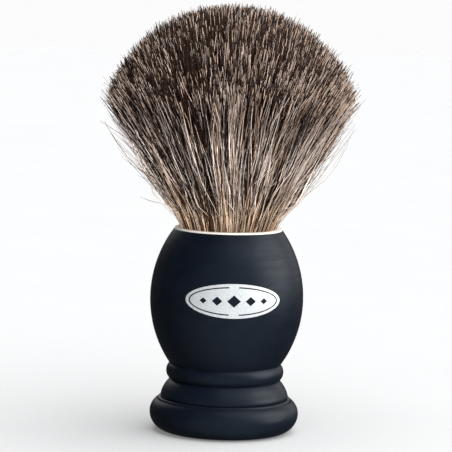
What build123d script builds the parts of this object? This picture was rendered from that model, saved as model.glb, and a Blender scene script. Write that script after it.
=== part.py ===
from build123d import *
import math
import os

# Shaving brush. Millimetres, +Z up, origin at the centre of the foot's underside, badge facing -Y.

# Turned handle: radii and heights of the places where its outline changes
handle_height = 50.6
foot_flat_radius = 14.0
foot_radius = 18.6
foot_widest_height = 4.65
foot_top_radius = 16.9
foot_top_height = 7.95
quirk_radius = 16.65
quirk_depth = 0.2
fillet_radius = 16.55
fillet_top_radius = 16.1
fillet_top_height = 8.45
ogee_foot_radius = 15.8
ogee_radius = 15.9
ogee_height = 9.25
ogee_belly_radius = 15.1
ogee_belly_height = 11.2
lower_neck_radius = 13.7
lower_neck_height = 12.95
bead_radius = 14.65
bead_height = 15.45
upper_neck_radius = 13.9
upper_neck_height = 16.95
belly_radius = 19.1
belly_height = 33.4
mouth_radius = 13.55
mouth_edge_round = 0.25

# Knot: the hair, its potted butts and the ferrule that holds them
knot_radius = 11.4
fan_angle = 32.0
dome_radius = 31.0
knot_top_height = 106.5
fan_edge_round = 1.8
plug_length = 12.0
plug_recess = 2.6
ferrule_wall = 0.8
flange_radius = 13.4
flange_thickness = 0.4
flange_edge_round = 0.15
sleeve_length = 13.0

# Glue bed between the ferrule and the bored socket
glue_gap = 0.15
glue_bed_thickness = 0.6
pilot_radius = 1.5
pilot_depth = 1.0

# Thread wound round the hair butts inside the potting
thread_radius = 0.29
thread_turns = 6
thread_pitch = 0.62
thread_clearance = 0.02

# Badge: thin oval foil plate that follows the belly, with openings that show the lacquer
badge_length = 23.0
badge_width = 8.4
badge_height = 35.0
badge_thickness = 0.15
border_inset = 0.7
border_line = 0.32
border_bridge = 2.4
lozenge_length = 3.4
lozenge_width = 3.0
side_lozenges = ((4.1, 0.75), (7.4, 0.5))

# Derived places
flange_top = handle_height + flange_thickness
plug_top = flange_top - plug_recess
plug_bottom = plug_top - plug_length
sleeve_bottom = flange_top - sleeve_length
sleeve_radius = knot_radius + ferrule_wall
socket_radius = sleeve_radius + glue_gap
socket_bottom = plug_bottom - glue_bed_thickness
dome_centre = knot_top_height - dome_radius
thread_centre_height = (plug_bottom + plug_top) / 2
winding_height = thread_turns * thread_pitch
groove_half_height = winding_height / 2 + thread_pitch
groove_depth = 2 * (thread_radius + thread_clearance)
winding_radius = knot_radius - groove_depth / 2


def turned(*edges):
    """Solid made by turning an outline of (radius, height) edges round the Z axis."""
    return revolve(make_face(Wire(list(edges))), Axis.Z)


def quarter_arc(widest, end):
    """Arc that leaves the widest point upright and reaches the end, in the XZ plane."""
    return TangentArc(widest, end, tangent=(0, 0, math.copysign(1, end[2] - widest[2])))


def belly_arcs(extra=0.0):
    """Upper and lower arcs of the belly, stood off outward by an extra distance."""
    widest = (belly_radius, 0, belly_height)
    arcs = []
    for radius, height in ((mouth_radius, handle_height), (upper_neck_radius, upper_neck_height)):
        end = belly_arc_end(radius, height, extra)
        arcs.append(quarter_arc((widest[0] + extra, 0, widest[2]), end))
    return arcs


def belly_arc_end(radius, height, extra):
    """End of a belly arc whose centre lies level with the widest point, stood off outward."""
    inward = belly_radius - radius
    rise = height - belly_height
    arc_radius = (inward**2 + rise**2) / (2 * inward)
    centre = belly_radius - arc_radius
    scale = (arc_radius + extra) / arc_radius
    return (centre + (radius - centre) * scale, 0, belly_height + rise * scale)


def handle_outline():
    """Edges of the handle's outline from the foot's underside up to the mouth."""
    foot_widest = (foot_radius, 0, foot_widest_height)
    foot_flat = (foot_flat_radius, 0, 0)
    foot_top = (foot_top_radius, 0, foot_top_height)
    quirk = (quirk_radius, 0, foot_top_height - quirk_depth)
    fillet_out = (fillet_radius, 0, (foot_top_height + 2 * fillet_top_height) / 3)
    fillet_top = (fillet_top_radius, 0, fillet_top_height)
    ogee_foot = (ogee_foot_radius, 0, fillet_top_height)
    ogee_low = (ogee_radius, 0, ogee_height)
    ogee_belly = (ogee_belly_radius, 0, ogee_belly_height)
    lower_neck = (lower_neck_radius, 0, lower_neck_height)
    bead = (bead_radius, 0, bead_height)
    upper_neck = (upper_neck_radius, 0, upper_neck_height)
    ogee = ThreePointArc(ogee_low, ogee_belly, lower_neck)
    upper_belly, lower_belly = belly_arcs()
    return [
        Line((0, 0, 0), foot_flat),
        quarter_arc(foot_widest, foot_flat),
        quarter_arc(foot_widest, foot_top),
        Line(foot_top, quirk),
        ThreePointArc(quirk, fillet_out, fillet_top),
        Line(fillet_top, ogee_foot),
        TangentArc(ogee_low, ogee_foot, tangent=-(ogee % 0)),
        ogee,
        ThreePointArc(lower_neck, bead, upper_neck),
        lower_belly,
        upper_belly,
    ]


def handle_body():
    """Turned handle with its mouth edge eased and a blind socket bored from the top."""
    mouth = (mouth_radius, 0, handle_height)
    blank = turned(*handle_outline(), Line(mouth, (0, 0, handle_height)), Line((0, 0, handle_height), (0, 0, 0)))
    mouth_edge = blank.edges().group_by(Axis.Z)[-1]
    blank = fillet(mouth_edge, mouth_edge_round)
    return blank - socket_void()


def socket_void():
    """Space of the bored socket, with the dimple that the drill's pilot point leaves."""
    bore = Cylinder(socket_radius, handle_height - socket_bottom, align=(Align.CENTER, Align.CENTER, Align.MIN))
    pilot = Cone(0, pilot_radius, pilot_depth, align=(Align.CENTER, Align.CENTER, Align.MAX))
    return Pos(0, 0, socket_bottom) * (bore + pilot)


def knot_ferrule():
    """Flanged sleeve: its flange covers the mouth and its sleeve holds the potted butts."""
    flange = Cylinder(flange_radius, flange_thickness, align=(Align.CENTER, Align.CENTER, Align.MAX))
    flange = fillet(flange.edges().group_by(Axis.Z)[-1], flange_edge_round)
    sleeve = Cylinder(sleeve_radius, sleeve_length, align=(Align.CENTER, Align.CENTER, Align.MAX))
    passage = Cylinder(knot_radius, sleeve_length, align=(Align.CENTER, Align.CENTER, Align.MAX))
    return Pos(0, 0, flange_top) * (flange + sleeve - passage)


def knot_plug():
    """Puck of resin and hair butts, waisted where the thread is wound."""
    puck = Cylinder(knot_radius, plug_length)
    core = Cylinder(knot_radius - groove_depth, 2 * groove_half_height)
    waist = Cylinder(knot_radius, 2 * groove_half_height) - core
    return Pos(0, 0, thread_centre_height) * (puck - waist)


def binding_thread():
    """Thread wound in touching turns round the waist of the butts."""
    route = Helix(thread_pitch, winding_height, winding_radius)
    section = Plane(origin=route @ 0, z_dir=route % 0) * Circle(thread_radius)
    winding = sweep(section, path=route, is_frenet=True)
    return Pos(0, 0, thread_centre_height - winding_height / 2) * winding


def socket_glue():
    """Cured glue: a film round the sleeve and a bed under it that fills the pilot dimple."""
    depth = handle_height - socket_bottom
    sleeve = Cylinder(sleeve_radius, depth, align=(Align.CENTER, Align.CENTER, Align.MIN))
    plug = Cylinder(knot_radius, depth, align=(Align.CENTER, Align.CENTER, Align.MIN))
    held = Pos(0, 0, sleeve_bottom) * sleeve + Pos(0, 0, plug_bottom) * plug
    return socket_void() - held


def hair_knot():
    """Outer shape of the hair: a shank in the ferrule, a flaring fan and a domed top."""
    spread = math.tan(math.radians(fan_angle))
    drop = dome_centre - flange_top
    # The fan's edge meets the dome where (knot_radius + spread*h)^2 + (h - drop)^2 = dome_radius^2.
    a = 1 + spread**2
    b = knot_radius * spread - drop
    c = knot_radius**2 + drop**2 - dome_radius**2
    rise = (-b + math.sqrt(b**2 - a * c)) / a
    edge = (knot_radius + spread * rise, 0, flange_top + rise)
    half_way = math.atan2(edge[0], edge[2] - dome_centre) / 2
    dome_middle = (dome_radius * math.sin(half_way), 0, dome_centre + dome_radius * math.cos(half_way))
    mouth = (knot_radius, 0, flange_top)
    shank = (knot_radius, 0, plug_top)
    top = (0, 0, knot_top_height)
    fan = turned(
        Line((0, 0, plug_top), shank),
        Line(shank, mouth),
        Line(mouth, edge),
        ThreePointArc(edge, dome_middle, top),
        Line(top, (0, 0, plug_top)),
    )
    rim = fan.edges().filter_by(lambda edge: edge.is_closed).sort_by(SortBy.LENGTH)[-1]
    return fillet(rim, fan_edge_round)


def belly_skin(inner, outer):
    """Shell that follows the belly between two distances outside its surface."""
    return belly_solid(outer) - belly_solid(inner)


def belly_solid(extra):
    """Belly stood off outward, closed by flat ends through the axis."""
    upper, lower = belly_arcs(extra)
    top = upper @ 1
    bottom = lower @ 1
    ends = [
        Line(top, (0, 0, top.Z)),
        Line((0, 0, top.Z), (0, 0, bottom.Z)),
        Line((0, 0, bottom.Z), bottom),
    ]
    return turned(lower, upper, *ends)


def badge_prism(sketch):
    """Flat shape drawn in front of the belly, run back to the axis at the badge's height."""
    distance = 2 * belly_radius
    front = Plane(origin=(0, -distance, badge_height), x_dir=(1, 0, 0), z_dir=(0, -1, 0))
    return extrude(front * sketch, amount=-distance)


def badge_oval(inset):
    """Oval of the badge, drawn in from its edge."""
    return Ellipse(badge_length / 2 - inset, badge_width / 2 - inset)


def lozenge(place, scale):
    """Upright lozenge on the badge's long axis."""
    half_length = scale * lozenge_length / 2
    half_width = scale * lozenge_width / 2
    corners = ((half_length, 0), (0, half_width), (-half_length, 0), (0, -half_width))
    return Pos(place, 0) * make_face(Polyline(*corners, close=True))


def badge_openings():
    """Two half borders, bridged at the top and bottom, and a row of lozenges that shrinks from the middle."""
    border = badge_oval(border_inset) - badge_oval(border_inset + border_line)
    shapes = [border - Rectangle(border_bridge, badge_width), lozenge(0, 1)]
    for place, scale in side_lozenges:
        for side in (-1, 1):
            shapes.append(lozenge(side * place, scale))
    return shapes


def badge():
    """Thin oval plate on the belly, cut through where its border and its lozenges show the lacquer."""
    plate = belly_skin(0, badge_thickness) & badge_prism(badge_oval(0))
    for shape in badge_openings():
        plate -= badge_prism(shape)
    return plate


os.makedirs("parts", exist_ok=True)
for make in (
    handle_body,
    knot_ferrule,
    knot_plug,
    binding_thread,
    socket_glue,
    hair_knot,
    badge,
):
    export_step(make(), f"parts/{make.__name__}.step")
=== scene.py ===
import math

import bpy
import numpy as np
from mathutils import Matrix, Vector


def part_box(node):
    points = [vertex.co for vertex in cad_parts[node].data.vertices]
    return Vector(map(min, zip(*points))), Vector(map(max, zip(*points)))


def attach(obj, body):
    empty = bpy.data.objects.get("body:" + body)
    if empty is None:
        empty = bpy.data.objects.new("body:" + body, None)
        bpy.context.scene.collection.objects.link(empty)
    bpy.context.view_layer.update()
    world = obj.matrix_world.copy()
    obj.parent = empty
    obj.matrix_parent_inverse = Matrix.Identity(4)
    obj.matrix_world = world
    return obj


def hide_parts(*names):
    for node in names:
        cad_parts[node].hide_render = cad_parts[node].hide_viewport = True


# Looks of the shaving brush, built round its CAD frame. Lengths are in metres, angles in radians.

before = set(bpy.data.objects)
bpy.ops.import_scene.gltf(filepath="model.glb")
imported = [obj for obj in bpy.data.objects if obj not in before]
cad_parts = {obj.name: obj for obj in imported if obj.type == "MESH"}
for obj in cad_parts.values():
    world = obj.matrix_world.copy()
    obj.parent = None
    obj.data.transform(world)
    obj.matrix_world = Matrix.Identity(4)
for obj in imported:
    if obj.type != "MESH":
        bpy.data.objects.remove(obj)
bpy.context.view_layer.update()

MM = 0.001
TURN = 2 * math.pi
GOLDEN_ANGLE = math.pi * (3 - math.sqrt(5))
TINY = 1e-9

# Places read from the frame: the ferrule's bore, the top of its flange and the top of the hair
knot_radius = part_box("knot_plug")[1].x
mouth_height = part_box("knot_ferrule")[1].z
dome_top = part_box("hair_knot")[1].z

# Camera
VIEW_DISTANCE = 620 * MM
VIEW_HEIGHT = 114.3 * MM
VIEW_TURN = math.radians(-5.4)
VIEW_ROLL = math.radians(1.5)
VIEW_WIDTH = 111.9 * MM
AIM_ASIDE = -0.64 * MM
AIM_HEIGHT = 51.4 * MM
SENSOR_WIDTH = 36.0

# Light. A lamp's turn goes round from the front towards the right. Turns, heights and spreads are in degrees.
WARM = (1.0, 0.98, 0.95)
WHITE = (1.0, 1.0, 1.0)
COOL = (0.93, 0.97, 1.0)
BODY_LAMPS = {
    "key": {"turn": 80, "height": 22, "spread": 54, "strength": 2.5},
    "rim": {"turn": 128, "height": 22, "spread": 50, "strength": 0.4},
    "back": {"turn": 186, "height": 36, "spread": 60, "strength": 0.7},
    "top": {"turn": 48, "height": 62, "spread": 60, "strength": 1.1},
    "fill": {"turn": 18, "height": 30, "spread": 14, "strength": 3.2, "glossy": False},
}
HAIR_LAMPS = {
    "hair_lamp_1": {"turn": 30, "height": 20, "strength": 3.8, "colour": WARM},
    "hair_lamp_2": {"turn": -50, "height": 8, "strength": 6.8, "colour": COOL},
    "hair_lamp_3": {"turn": 72, "height": 52, "strength": 3.8, "colour": WARM},
}
HAIR_LAMP_SPREAD = 5
FLOOR_LAMP = {"turn": 65, "height": 66, "spread": 100, "strength": 5.2, "colour": WHITE}

# Surroundings: greys by position, as (position, grey) pairs
BACKDROP_GREYS = ((0.0, 0.97), (0.10, 0.87))
GLOW_GREYS = ((0.1, 0.07), (1.0, 0.78))
GLOW_TINT = (0.86, 0.94, 1.0)
GLOW_DIRECTION = (0.15, -0.94, -0.30)

# Floor
FLOOR_HALF_SIZE = 3.0
FLOOR_GAP = 0.02 * MM
FLOOR_GLOW = 0.165

# Hair: the disc of its roots inside the ferrule, the fan that it spreads into and the dome that it ends on
ROOT_RADIUS = knot_radius - 0.15 * MM
ROOT_DEPTH = 1.5 * MM
FAN_ANGLE = math.radians(31.5)
DOME_RADIUS = 31.0 * MM
# How far roots, tufts and streaks are moved at random from an even spread
ROOT_JITTER = 0.12 * MM
TUFT_JITTER = 0.2 * MM
STREAK_JITTER = 0.3 * MM
# Where the roots of the edge coats begin, as a share of the root radius
EDGE_BAND = 0.86
# How much of an outward lean turns inward at the edge, and how much more a wild hair leans and waves
TURNED_IN = 0.7
WILDNESS = 2.2
# Outward curl of the edge hairs at their tips, and how far they draw in before it
FLARE = 1.6 * MM
FLARE_DIP = 0.6
# Angles that the two waves of a hair run through, and where its hook begins along it
SWAY_RATES = (4.5, 3.2)
HOOK_START = 0.65
# A hair's tube: its rings and sides, and how its thickness changes from root to tip
HAIR_RINGS = 8
HAIR_SIDES = 3
TAPER_PLACES = (0, 0.35, 0.8, 1)
TAPER_WIDTHS = (0.6, 1, 0.95, 0.4)
# Columns of hair strips on the bake layer, and the margins at a strip's ends and sides
BAKE_COLUMNS = 8
BAKE_MARGIN = 0.02
BAKE_INSET = 0.05
# Pieces that the two largest coats are split into, and the seed of each coat's first piece
GUARD_PIECES = 4
CORE_PIECES = 2
GUARD_SEED = 11
CORE_SEED = 21
UNDER_SEED = 31
LOOSE_SEED = 41
STRAY_SEED = 51
# Shares of the way to the dome that hairs go
REACH_SPREAD = 0.008
SHORT_SHARE = 0.25
SHORT_REACH = (0.6, 0.98)
UNDER_REACH = (0.5, 0.95)
LOOSE_REACH = 1.035
LEAST_LOOSE = 0.12
# Streaks of like hair, and how far a streak, the edge and the right side shift the share of pale hairs. The
# edge shift is painted shade: inner hairs are darker than outer ones, so the depth of the knot looks shaded.
# The right-side shift is painted light: there is more pale hair on the side that the lamps light.
STREAKS = 900
STREAK_SHIFT = 0.45
PAINTED_DEPTH_SHADE = 0.3
PAINTED_SIDE_LIGHT = 0.17
# Tones of the pale and the dark hairs, 0 dark to 1 pale. The dark ones are raised to a power.
PALE_TONES = (0.25, 1.0)
DARK_TONES = (0.0, 0.40)
DARK_POWER = 3
# Turn from the front, in degrees, and how much more of the outer hair is pale there
PALE_PATCHES = (
    (-180, 0.0),
    (-100, 0.10),
    (-62, 0.05),
    (-48, -0.15),
    (-34, -0.40),
    (-24, -0.70),
    (-18, -0.30),
    (-12, 0.25),
    (-4, 0.35),
    (2, -0.15),
    (9, -0.50),
    (15, -0.10),
    (30, -0.25),
    (42, 0.12),
    (60, 0.16),
    (100, 0.10),
)


# ---------------------------------------------------------------- materials


# Places of the factor and the two colours among a Mix node's inputs, and of the colour among its outputs
MIX_INPUTS = (0, 6, 7)
MIX_OUTPUT = 2


class Shader:
    """A node material with one Principled shader and short ways to feed its sockets."""

    def __init__(self, name, **sockets):
        self.material = bpy.data.materials.new(name)
        self.material.use_nodes = True
        self.tree = self.material.node_tree
        self.surface = self.tree.nodes["Principled BSDF"]
        for socket, value in sockets.items():
            self.surface.inputs[socket.replace("_", " ")].default_value = value

    def node(self, kind, **values):
        made = self.tree.nodes.new(kind)
        for name, value in values.items():
            setattr(made, name, value)
        return made

    def link(self, source, target):
        self.tree.links.new(source, target)

    def place(self, stretch=(1, 1, 1)):
        """Object coordinates, stretched along the axes."""
        coordinates = self.node("ShaderNodeTexCoord")
        mapping = self.node("ShaderNodeMapping")
        mapping.inputs["Scale"].default_value = stretch
        self.link(coordinates.outputs["Object"], mapping.inputs["Vector"])
        return mapping.outputs["Vector"]

    def noise(self, size, detail=3.0, roughness=0.5, stretch=(1, 1, 1)):
        """Noise whose features are about size metres across."""
        texture = self.node("ShaderNodeTexNoise")
        texture.inputs["Scale"].default_value = 1 / size
        texture.inputs["Detail"].default_value = detail
        texture.inputs["Roughness"].default_value = roughness
        self.link(self.place(stretch), texture.inputs["Vector"])
        return texture.outputs["Fac"]

    def attribute(self, name):
        """Value that the mesh stores under a name."""
        return self.node("ShaderNodeAttribute", attribute_name=name).outputs["Fac"]

    def ramp(self, source, stops):
        """Colours or greys by position: stops are (position, value) pairs."""
        ramp = self.node("ShaderNodeValToRGB")
        elements = ramp.color_ramp.elements
        while len(elements) < len(stops):
            elements.new(0.5)
        for element, (position, value) in zip(elements, stops):
            element.position = position
            element.color = (*value, 1) if hasattr(value, "__len__") else (value, value, value, 1)
        self.link(source, ramp.inputs["Fac"])
        return ramp.outputs["Color"]

    def mix(self, factor, first, second, blend="MIX"):
        """Mixed colour. The factor and each colour may be a plain value or a socket."""
        made = self.node("ShaderNodeMix", data_type="RGBA", blend_type=blend)
        for index, value in zip(MIX_INPUTS, (factor, first, second)):
            socket = made.inputs[index]
            if isinstance(value, bpy.types.NodeSocket):
                self.link(value, socket)
            elif isinstance(value, tuple):
                socket.default_value = (*value, 1)
            else:
                socket.default_value = value
        return made.outputs[MIX_OUTPUT]

    def bump(self, height, strength, distance, under=None):
        """Normal that follows a height, over another normal if one is given."""
        made = self.node("ShaderNodeBump")
        made.inputs["Strength"].default_value = strength
        made.inputs["Distance"].default_value = distance
        self.link(height, made.inputs["Height"])
        if under is not None:
            self.link(under, made.inputs["Normal"])
        return made.outputs["Normal"]

    def feed(self, **sockets):
        """Links sources to the shader's own sockets and gives back the finished material."""
        for socket, source in sockets.items():
            self.link(source, self.surface.inputs[socket.replace("_", " ")])
        return self.material


def lacquer():
    """Satin black lacquer over a turned blank: mottling, streaks round the turning and dust-fine grain."""
    shader = Shader("black_lacquer", Specular_IOR_Level=0.25, Specular_Tint=(0.80, 0.93, 1.0, 1))
    mottle = shader.noise(3 * MM, detail=6, roughness=0.65, stretch=(0.5, 0.5, 1))
    streaks = shader.noise(0.9 * MM, detail=4, roughness=0.6, stretch=(0.1, 0.1, 1))
    grain = shader.noise(0.12 * MM, detail=2)
    colour = shader.ramp(mottle, [(0.3, (0.0019, 0.0036, 0.0080)), (0.7, (0.0037, 0.0060, 0.0120))])
    rough = shader.ramp(streaks, [(0.3, 0.33), (0.7, 0.49)])
    relief = shader.bump(streaks, 0.6, 0.08 * MM)
    relief = shader.bump(grain, 0.2, 0.01 * MM, under=relief)
    return shader.feed(Base_Color=colour, Roughness=rough, Normal=relief)


def ivory():
    """Ivory-white moulded plastic with faint clouding and moulding texture."""
    shader = Shader("ivory_plastic", Roughness=0.35)
    cloud = shader.noise(2.5 * MM, detail=3)
    colour = shader.ramp(cloud, [(0.3, (0.78, 0.74, 0.67)), (0.7, (0.86, 0.83, 0.77))])
    relief = shader.bump(shader.noise(0.2 * MM), 0.1, 0.01 * MM)
    return shader.feed(Base_Color=colour, Normal=relief)


def foil():
    """Silver-white foil with a fine pressed grain."""
    shader = Shader("silver_foil", Metallic=0.55)
    speck = shader.noise(0.22 * MM, detail=3, roughness=0.7)
    colour = shader.ramp(speck, [(0.32, (0.50, 0.52, 0.53)), (0.55, (0.80, 0.82, 0.83))])
    rough = shader.ramp(speck, [(0.3, 0.55), (0.7, 0.42)])
    relief = shader.bump(speck, 0.25, 0.02 * MM)
    return shader.feed(Base_Color=colour, Roughness=rough, Normal=relief)


def resin():
    """Amber potting resin, clouded by the butts in it."""
    shader = Shader("potting_resin", Roughness=0.25)
    butts = shader.noise(0.15 * MM, detail=2, stretch=(1, 1, 0.1))
    colour = shader.ramp(butts, [(0.35, (0.09, 0.05, 0.02)), (0.65, (0.36, 0.24, 0.11))])
    return shader.feed(Base_Color=colour, Normal=shader.bump(butts, 0.2, 0.02 * MM))


def thread():
    """Waxed thread with the slanting ridges of its twist."""
    shader = Shader("waxed_thread", Roughness=0.6)
    twist = shader.noise(0.18 * MM, detail=2, stretch=(1, 1, 2))
    colour = shader.ramp(twist, [(0.35, (0.50, 0.44, 0.33)), (0.65, (0.72, 0.67, 0.55))])
    return shader.feed(Base_Color=colour, Normal=shader.bump(twist, 0.4, 0.05 * MM))


def glue():
    """Cured epoxy with small bubbles."""
    shader = Shader("clear_glue", Roughness=0.3)
    bubbles = shader.noise(0.4 * MM, detail=3)
    colour = shader.ramp(bubbles, [(0.4, (0.45, 0.40, 0.28)), (0.7, (0.66, 0.62, 0.50))])
    return shader.feed(Base_Color=colour, Normal=shader.bump(bubbles, 0.3, 0.05 * MM))


def badger_hair():
    """Banded hair: its tone takes it from dark to pale, and its warmth from grey to tan."""
    shader = Shader("badger_hair", Roughness=0.4, Specular_IOR_Level=0.1)
    along = shader.attribute("along")
    dark = shader.ramp(
        along,
        [
            (0.0, (0.055, 0.033, 0.022)),
            (0.2, (0.018, 0.0098, 0.0062)),
            (0.6, (0.0045, 0.0027, 0.0024)),
            (1.0, (0.0055, 0.0031, 0.0025)),
        ],
    )
    pale = shader.ramp(
        along,
        [
            (0.0, (0.75, 0.55, 0.39)),
            (0.35, (0.41, 0.296, 0.215)),
            (0.65, (0.81, 0.65, 0.54)),
            (0.85, (0.36, 0.282, 0.237)),
            (1.0, (0.24, 0.188, 0.158)),
        ],
    )
    tone = shader.attribute("tone")
    colour = shader.mix(tone, dark, pale)
    brown = shader.ramp(tone, [(0.0, (1.0, 0.85, 0.75)), (0.12, (1.0, 0.76, 0.60)), (0.5, (1.0, 1.0, 1.0))])
    colour = shader.mix(1.0, colour, brown, "MULTIPLY")
    grey = shader.mix(1.0, colour, (0.90, 0.97, 1.07), "MULTIPLY")
    tan = shader.mix(1.0, colour, (1.09, 0.98, 0.85), "MULTIPLY")
    return shader.feed(Base_Color=shader.mix(shader.attribute("warmth"), grey, tan))


def floor_paint():
    """Plain pale matt floor, hardly uneven, that glows a little so that its shadows stay light."""
    shader = Shader(
        "pale_floor",
        Roughness=0.9,
        Specular_IOR_Level=0.1,
        Emission_Color=(1, 1, 1, 1),
        Emission_Strength=FLOOR_GLOW,
    )
    cloud = shader.noise(60 * MM)
    colour = shader.ramp(cloud, [(0.3, (0.50, 0.50, 0.503)), (0.7, (0.51, 0.51, 0.513))])
    return shader.feed(Base_Color=colour)


# ---------------------------------------------------------------- hair


def sunflower(count, radius, jitter, rng):
    """Evenly spread points on a disc, each moved at random by up to jitter."""
    index = np.arange(count)
    reach = radius * np.sqrt((index + 0.5) / count)
    angle = index * GOLDEN_ANGLE + rng.uniform(0, TURN)
    points = np.stack([reach * np.cos(angle), reach * np.sin(angle)], 1)
    points += rng.uniform(-jitter, jitter, points.shape)
    too_far = np.maximum(np.linalg.norm(points, axis=1) / radius, 1)
    return points / too_far[:, None]


def nearest(points, centres):
    """Index of the centre nearest to each point."""
    return ((points[:, None] - centres[None]) ** 2).sum(2).argmin(1)


def outward_from_axis(roots):
    """Each root's distance from the axis, and the unit vector from the axis to it."""
    distance = np.linalg.norm(roots, axis=1)
    return distance, roots / np.maximum(distance, TINY)[:, None]


def fan_lines(roots, lean):
    """Lines from the mouth, fanned out and leant, that end on the dome: (starts, directions, lengths)."""
    start = np.column_stack([roots, np.full(len(roots), mouth_height)])
    distance, outward = outward_from_axis(roots)
    spread = outward * np.tan(FAN_ANGLE * distance / ROOT_RADIUS)[:, None] + lean
    direction = np.column_stack([spread, np.ones(len(roots))])
    direction /= np.linalg.norm(direction, axis=1)[:, None]
    from_centre = start - (0, 0, dome_top - DOME_RADIUS)
    half = np.einsum("ij,ij->i", from_centre, direction)
    gap = np.einsum("ij,ij->i", from_centre, from_centre) - DOME_RADIUS**2
    return start, direction, -half + np.sqrt(np.maximum(half**2 - gap, 0))


def sideways(direction, rng):
    """Two random unit vectors square to each direction and to each other."""
    side = rng.normal(0, 1, direction.shape)
    side -= direction * np.einsum("ij,ij->i", side, direction)[:, None]
    side /= np.linalg.norm(side, axis=1)[:, None]
    return side, np.cross(direction, side)


def inward_at_edge(lean, roots):
    """Lean with its outward part turned back, the more so the nearer the root is to the edge."""
    distance, outward = outward_from_axis(roots)
    radial = np.einsum("ij,ij->i", lean, outward)
    held = np.clip(distance / ROOT_RADIUS, 0, 1) ** 4
    wanted = radial * (1 - held) - TURNED_IN * np.abs(radial) * held
    return lean + outward * (wanted - radial)[:, None]


def coat_roots(coat, rng):
    """Each hair's root on the mouth's disc, spread over it or kept to a band at its edge."""
    roots = sunflower(coat["count"], ROOT_RADIUS * coat["root_reach"], ROOT_JITTER, rng)
    if coat["edge_only"]:
        wanted = ROOT_RADIUS * rng.uniform(EDGE_BAND, 1, len(roots))
        roots *= (wanted / np.linalg.norm(roots, axis=1))[:, None]
    return roots


def hair_paths(coat, rng):
    """Centrelines (hair, ring, xyz) of a coat, and each hair's root on the mouth's disc."""
    count = coat["count"]
    roots = coat_roots(coat, rng)
    centres = sunflower(coat["tufts"], ROOT_RADIUS, TUFT_JITTER, rng)
    tuft = nearest(roots, centres)
    tuft_lean = rng.normal(0, coat["tuft_lean"], (coat["tufts"], 2))
    wild = np.where(rng.random(count) < coat["wild_share"], WILDNESS, 1.0)
    lean = tuft_lean[tuft] + rng.normal(0, coat["lean"], (count, 2)) * wild[:, None]
    if coat["held_in"]:
        tuft_lean = inward_at_edge(tuft_lean, centres)
        lean = inward_at_edge(lean, roots)
    start, direction, length = fan_lines(roots, lean)
    length = length * coat["reach"](rng, count)

    t = np.linspace(0, 1, HAIR_RINGS)[None, :, None]
    along = length[:, None, None] * t
    path = start[:, None] + direction[:, None] * along
    guide_start, guide_direction, _ = fan_lines(centres, tuft_lean)
    guide = guide_start[tuft][:, None] + guide_direction[tuft][:, None] * along
    pull = coat["gather"] * rng.uniform(0.2, 1, (count, 1, 1)) / wild[:, None, None]
    path += (guide - path) * pull * t

    bend_hairs(path, direction, wild, coat, rng)
    outward = np.column_stack([roots, np.zeros(count)]) / ROOT_RADIUS
    path += outward[:, None] * FLARE * (t**3 - FLARE_DIP * t)
    path[:, 0, 2] -= ROOT_DEPTH
    return path, roots


def bend_hairs(path, direction, wild, coat, rng):
    """Gives each centreline its own waves and a hook at its tip."""
    count = len(path)
    t = np.linspace(0, 1, HAIR_RINGS)[None, :, None]
    side, other_side = sideways(direction, rng)
    bend = coat["wave"] * rng.uniform(0.3, 1, (count, 1, 1)) * wild[:, None, None]
    phase = rng.uniform(0, TURN, (count, 1, 1))
    first_sway = side[:, None] * np.sin(phase + SWAY_RATES[0] * t)
    second_sway = other_side[:, None] * np.cos(phase + SWAY_RATES[1] * t)
    path += bend * np.minimum(2 * t, 1) * (first_sway + second_sway)
    hook = coat["hook"] * rng.uniform(0, 1, (count, 1, 1))
    path += side[:, None] * hook * np.clip((t - HOOK_START) / (1 - HOOK_START), 0, 1) ** 2


def tube_points(path, thickness):
    """Ring points of tapering tubes round the centrelines: (hair, ring, side, xyz)."""
    t = np.linspace(0, 1, path.shape[1])
    taper = np.interp(t, TAPER_PLACES, TAPER_WIDTHS)
    ahead = np.gradient(path, axis=1)
    ahead /= np.linalg.norm(ahead, axis=2)[..., None]
    spare = np.where(np.abs(ahead[:, :1, :1]) < 0.8, (1.0, 0, 0), (0, 1.0, 0))
    across = np.cross(ahead, spare)
    across /= np.linalg.norm(across, axis=2)[..., None]
    beside = np.cross(ahead, across)
    angle = TURN * np.arange(HAIR_SIDES)[:, None] / HAIR_SIDES
    circle = across[:, :, None] * np.cos(angle) + beside[:, :, None] * np.sin(angle)
    return path[:, :, None] + circle * thickness[:, None, None, None] * taper[:, None, None]


def tube_faces(count):
    """Corner indices and face sizes of count closed tubes."""
    hair = np.arange(count)[:, None, None] * HAIR_RINGS * HAIR_SIDES
    ring = hair + np.arange(HAIR_RINGS - 1)[None, :, None] * HAIR_SIDES
    ring_above = ring + HAIR_SIDES
    side = np.arange(HAIR_SIDES)
    following = (side + 1) % HAIR_SIDES
    quads = np.stack([ring + side, ring + following, ring_above + following, ring_above + side], -1)
    root_caps = hair[:, 0] + side[::-1]
    tip_caps = hair[:, 0] + (HAIR_RINGS - 1) * HAIR_SIDES + side
    corners = np.concatenate([quads.ravel(), root_caps.ravel(), tip_caps.ravel()])
    sizes = np.concatenate([np.full(quads.size // 4, 4), np.full(2 * count, HAIR_SIDES)])
    return corners.astype(np.int32), sizes


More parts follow.
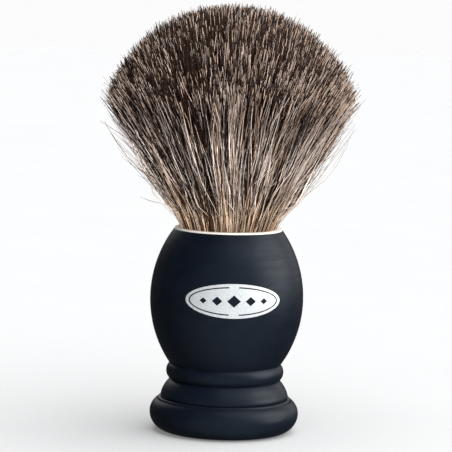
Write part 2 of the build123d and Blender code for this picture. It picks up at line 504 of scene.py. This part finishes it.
def tube_mesh(name, path, thickness, tone, warmth):
    """One closed tube for each hair, with its tone, its warmth, its root-to-tip position and a bake strip."""
    count = len(path)
    points = tube_points(path, thickness)
    corners, sizes = tube_faces(count)
    mesh = bpy.data.meshes.new(name)
    mesh.vertices.add(points.size // 3)
    mesh.vertices.foreach_set("co", points.astype(np.float32).ravel())
    mesh.loops.add(len(corners))
    mesh.loops.foreach_set("vertex_index", corners)
    mesh.polygons.add(len(sizes))
    mesh.polygons.foreach_set("loop_start", (np.cumsum(sizes) - sizes).astype(np.int32))
    mesh.polygons.foreach_set("use_smooth", np.ones(len(sizes), bool))
    mesh.update(calc_edges=True)
    hair_points = HAIR_RINGS * HAIR_SIDES
    values = {
        "along": np.tile(np.repeat(np.linspace(0, 1, HAIR_RINGS), HAIR_SIDES), count),
        "tone": np.repeat(tone, hair_points),
        "warmth": np.repeat(warmth, hair_points),
    }
    for key, value in values.items():
        mesh.attributes.new(key, "FLOAT", "POINT").data.foreach_set("value", value.astype(np.float32))
    add_bake_strips(mesh, corners, tone)
    return mesh


def add_bake_strips(mesh, corners, tone):
    """UV layer in which each hair has its own strip, root to tip, beside hairs of a like tone."""
    rows = math.ceil(len(tone) / BAKE_COLUMNS)
    place = np.empty(len(tone), int)
    place[np.argsort(tone, kind="stable")] = np.arange(len(tone))
    hair, within = np.divmod(corners, HAIR_RINGS * HAIR_SIDES)
    ring, side = np.divmod(within, HAIR_SIDES)
    column, row = np.divmod(place[hair], rows)
    u = (column + BAKE_MARGIN + (1 - 2 * BAKE_MARGIN) * ring / (HAIR_RINGS - 1)) / BAKE_COLUMNS
    v = (row + np.where(side % 2 == 0, BAKE_INSET, 1 - BAKE_INSET)) / rows
    layer = mesh.uv_layers.new(name="OFBake")
    layer.data.foreach_set("uv", np.stack([u, v], 1).astype(np.float32).ravel())


def edge_share(roots):
    """0 for a root in the middle of the knot, 1 for one at its edge."""
    return np.linalg.norm(roots, axis=1) / ROOT_RADIUS


def patch_shift(roots):
    """How much more of the hair is pale by its place round the knot, fading towards the middle."""
    turn = np.degrees(np.arctan2(roots[:, 0], -roots[:, 1]))
    places, shifts = zip(*PALE_PATCHES)
    return np.interp(turn, places, shifts, period=360) * edge_share(roots) ** 2


def hair_tones(coat, roots, rng):
    """Tone of each hair, 0 dark to 1 pale. Neighbours tend to be alike, so the hair lies in streaks."""
    count = len(roots)
    streaks = sunflower(STREAKS, ROOT_RADIUS, STREAK_JITTER, rng)
    streak_shift = rng.normal(0, STREAK_SHIFT, STREAKS)[nearest(roots, streaks)]
    # Painted shade and light: the edge term makes the inner hair darker, and the side term makes the right
    # side paler.
    share = coat["pale_share"] + PAINTED_DEPTH_SHADE * edge_share(roots) ** 4 + PAINTED_SIDE_LIGHT * roots[:, 0] / ROOT_RADIUS
    share += streak_shift + patch_shift(roots)
    is_pale = rng.random(count) < share
    pale = rng.uniform(*PALE_TONES, count)
    dark = rng.uniform(*DARK_TONES, count) ** DARK_POWER
    return np.where(is_pale, pale, dark)


def hair_piece(name, coat, seed, material, hair):
    """One mesh of hair that belongs to a coat, put in the collection of the hair."""
    rng = np.random.default_rng(seed)
    path, roots = hair_paths(coat, rng)
    tone = hair_tones(coat, roots, rng)
    thickness = coat["thickness"] * rng.uniform(0.7, 1.3, coat["count"])
    warmth = rng.uniform(0.0, coat["warmest"], coat["count"])
    made = bpy.data.objects.new(name, tube_mesh(name, path, thickness, tone, warmth))
    hair.objects.link(made)
    made.data.materials.append(material)
    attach(made, "root")
    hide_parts("hair_knot")


def near_dome(rng, count, middle, most):
    """Shares of the way to the dome, close to the middle one and never above the most."""
    return np.minimum(rng.normal(middle, REACH_SPREAD, count), most)


def guard_reach(rng, count):
    """The whole way for most hairs, and less for some."""
    full = near_dome(rng, count, middle=0.994, most=1.01)
    is_short = rng.random(count) < SHORT_SHARE
    return np.where(is_short, rng.uniform(*SHORT_REACH, count), full)


def core_reach(rng, count):
    """Just short of the guard hairs."""
    return near_dome(rng, count, middle=0.985, most=1.005)


def under_reach(rng, count):
    """Anywhere from half way up."""
    return rng.uniform(*UNDER_REACH, count)


def loose_reach(rng, count):
    """From a third of the way to a little past the dome, and the longer the more often."""
    return LOOSE_REACH * np.sqrt(rng.uniform(LEAST_LOOSE, 1.0, count))


# The coats. Leans are slopes, gather is how far a hair is drawn into its tuft, pale_share is the share
# of pale hairs before its shifts, and reach gives the share of the way to the dome that each hair goes.
FULL_COAT = {"root_reach": 1.0, "warmest": 1.0, "edge_only": False, "held_in": True}
EDGE_COAT = {"root_reach": 1.0, "lean": 0.06, "gather": 0.1, "edge_only": True, "held_in": False}
GUARD_HAIR = {
    **FULL_COAT,
    "count": 3300,
    "tufts": 1000,
    "tuft_lean": 0.04,
    "lean": 0.065,
    "wild_share": 0.15,
    "gather": 0.65,
    "wave": 1.0 * MM,
    "hook": 2.0 * MM,
    "thickness": 0.145 * MM,
    "reach": guard_reach,
    "pale_share": 0.26,
}
CORE_HAIR = {
    **FULL_COAT,
    "count": 4400,
    "tufts": 1300,
    "tuft_lean": 0.04,
    "lean": 0.05,
    "wild_share": 0.1,
    "gather": 0.4,
    "wave": 0.8 * MM,
    "hook": 1.0 * MM,
    "thickness": 0.11 * MM,
    "reach": core_reach,
    "root_reach": 0.94,
    # Well below zero, so the core is nearly all dark hair: painted shade deep in the knot, between the outer
    # hairs.
    "pale_share": -0.35,
}
UNDER_HAIR = {
    **FULL_COAT,
    "count": 2400,
    "tufts": 420,
    "tuft_lean": 0.045,
    "lean": 0.06,
    "wild_share": 0.15,
    "gather": 0.7,
    "wave": 0.9 * MM,
    "hook": 0.8 * MM,
    "thickness": 0.14 * MM,
    "reach": under_reach,
    "pale_share": 0.75,
}
LOOSE_HAIR = {
    **EDGE_COAT,
    "count": 1300,
    "tufts": 200,
    "tuft_lean": 0.02,
    "wild_share": 0.08,
    "wave": 1.4 * MM,
    "hook": 1.5 * MM,
    "thickness": 0.10 * MM,
    "reach": loose_reach,
    "pale_share": 0.7,
    "warmest": 0.4,
}
STRAY_HAIR = {
    **EDGE_COAT,
    "count": 2400,
    "tufts": 90,
    "tuft_lean": 0.03,
    "wild_share": 0.2,
    "wave": 1.2 * MM,
    "hook": 2.0 * MM,
    "thickness": 0.06 * MM,
    "reach": loose_reach,
    "pale_share": 0.3,
    "warmest": 0.2,
}


def build_hair():
    """All the hair, in a collection of its own."""
    hair = bpy.data.collections.new("hair")
    bpy.context.scene.collection.children.link(hair)
    material = badger_hair()
    for index in range(GUARD_PIECES):
        hair_piece(f"guard_hair_{index + 1}", GUARD_HAIR, GUARD_SEED + index, material, hair)
    for index in range(CORE_PIECES):
        hair_piece(f"core_hair_{index + 1}", CORE_HAIR, CORE_SEED + index, material, hair)
    hair_piece("under_hair", UNDER_HAIR, UNDER_SEED, material, hair)
    hair_piece("loose_hair", LOOSE_HAIR, LOOSE_SEED, material, hair)
    hair_piece("stray_hair", STRAY_HAIR, STRAY_SEED, material, hair)
    return hair


# ---------------------------------------------------------------- CAD pieces


def finish_node(node, material):
    """Gives a CAD node its looks."""
    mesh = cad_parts[node].data
    mesh.materials.clear()
    mesh.materials.append(material)


# ---------------------------------------------------------------- stage


def build_floor():
    """Square floor, lowered by a hair's breadth so that it and the foot's flat underside never coincide."""
    corners = [(x * FLOOR_HALF_SIZE, y * FLOOR_HALF_SIZE, 0) for x, y in ((-1, -1), (1, -1), (1, 1), (-1, 1))]
    mesh = bpy.data.meshes.new("floor")
    mesh.from_pydata(corners, [], [(0, 1, 2, 3)])
    mesh.materials.append(floor_paint())
    floor = bpy.data.objects.new("floor", mesh)
    bpy.context.scene.collection.objects.link(floor)
    floor.location.z = -FLOOR_GAP
    floor.visible_glossy = False
    return floor


def sun_light(name, receivers, turn, height, spread, strength, glossy=True, colour=WARM):
    """Broad distant lamp that lights only what the receivers' collection says."""
    data = bpy.data.lights.new(name, "SUN")
    data.angle = math.radians(spread)
    data.energy = strength
    data.color = colour
    lamp = bpy.data.objects.new(name, data)
    around = math.radians(turn)
    up = math.radians(height)
    towards = Vector((math.sin(around) * math.cos(up), -math.cos(around) * math.cos(up), math.sin(up)))
    lamp.rotation_euler = (-towards).to_track_quat("-Z", "Y").to_euler()
    lamp.visible_glossy = glossy
    bpy.context.scene.collection.objects.link(lamp)
    lamp.light_linking.receiver_collection = receivers


def grey_ramp(tree, source, greys, tint=WHITE):
    """Tinted grey that follows a value, from (value, grey) pairs."""
    ramp = tree.nodes.new("ShaderNodeValToRGB")
    for element, (position, grey) in zip(ramp.color_ramp.elements, greys):
        element.position = position
        element.color = (*(grey * part for part in tint), 1)
    tree.links.new(source, ramp.inputs["Fac"])
    return ramp.outputs["Color"]


def build_world():
    """Pale backdrop that only the camera sees, darker upwards, and a dim glow from low in front."""
    world = bpy.data.worlds.new("studio")
    bpy.context.scene.world = world
    world.use_nodes = True
    tree = world.node_tree
    link = tree.links.new
    direction = tree.nodes.new("ShaderNodeTexCoord").outputs["Generated"]

    split = tree.nodes.new("ShaderNodeSeparateXYZ")
    link(direction, split.inputs["Vector"])
    backdrop = tree.nodes["Background"]
    link(grey_ramp(tree, split.outputs["Z"], BACKDROP_GREYS), backdrop.inputs["Color"])

    facing = tree.nodes.new("ShaderNodeVectorMath")
    facing.operation = "DOT_PRODUCT"
    facing.inputs[1].default_value = GLOW_DIRECTION
    link(direction, facing.inputs[0])
    glow = tree.nodes.new("ShaderNodeBackground")
    link(grey_ramp(tree, facing.outputs["Value"], GLOW_GREYS, GLOW_TINT), glow.inputs["Color"])

    ray = tree.nodes.new("ShaderNodeLightPath")
    mix = tree.nodes.new("ShaderNodeMixShader")
    link(ray.outputs["Is Camera Ray"], mix.inputs["Fac"])
    link(glow.outputs["Background"], mix.inputs[1])
    link(backdrop.outputs["Background"], mix.inputs[2])
    link(mix.outputs["Shader"], tree.nodes["World Output"].inputs["Surface"])


def build_light(floor, hair):
    """The surroundings, and lamps that miss the floor, light the hair alone or light the floor alone."""
    build_world()
    off_floor = bpy.data.collections.new("off_floor")
    off_floor.objects.link(floor)
    off_floor.collection_objects[0].light_linking.link_state = "EXCLUDE"
    only_floor = bpy.data.collections.new("only_floor")
    only_floor.objects.link(floor)
    for name, values in BODY_LAMPS.items():
        sun_light(name, off_floor, **values)
    for name, values in HAIR_LAMPS.items():
        sun_light(name, hair, spread=HAIR_LAMP_SPREAD, glossy=False, **values)
    sun_light("floor_lamp", only_floor, **FLOOR_LAMP)


def build_camera():
    """Camera in front of the brush, a little above its middle and rolled slightly, aimed near its axis."""
    data = bpy.data.cameras.new("camera")
    camera = bpy.data.objects.new("camera", data)
    bpy.context.scene.collection.objects.link(camera)
    right = Vector((math.cos(VIEW_TURN), math.sin(VIEW_TURN), 0))
    away = Vector((-math.sin(VIEW_TURN), math.cos(VIEW_TURN), 0))
    place = -away * VIEW_DISTANCE + Vector((0, 0, VIEW_HEIGHT))
    aim = right * AIM_ASIDE + Vector((0, 0, AIM_HEIGHT))
    gaze = (aim - place).to_track_quat("-Z", "Y").to_matrix()
    camera.matrix_world = Matrix.Translation(place) @ (gaze @ Matrix.Rotation(VIEW_ROLL, 3, "Z")).to_4x4()
    data.sensor_width = SENSOR_WIDTH
    data.lens = SENSOR_WIDTH * VIEW_DISTANCE / VIEW_WIDTH
    data.clip_end = 10
    bpy.context.scene.camera = camera


# ---------------------------------------------------------------- the whole brush


def build():
    """Makes the stage, the light and the hair, and gives each CAD node its looks."""
    bpy.context.scene.view_settings.view_transform = "Standard"
    build_camera()
    build_light(build_floor(), build_hair())
    looks = {
        "handle_body": lacquer,
        "knot_ferrule": ivory,
        "badge": foil,
        "knot_plug": resin,
        "binding_thread": thread,
        "socket_glue": glue,
    }
    for node, material in looks.items():
        finish_node(node, material())


build()
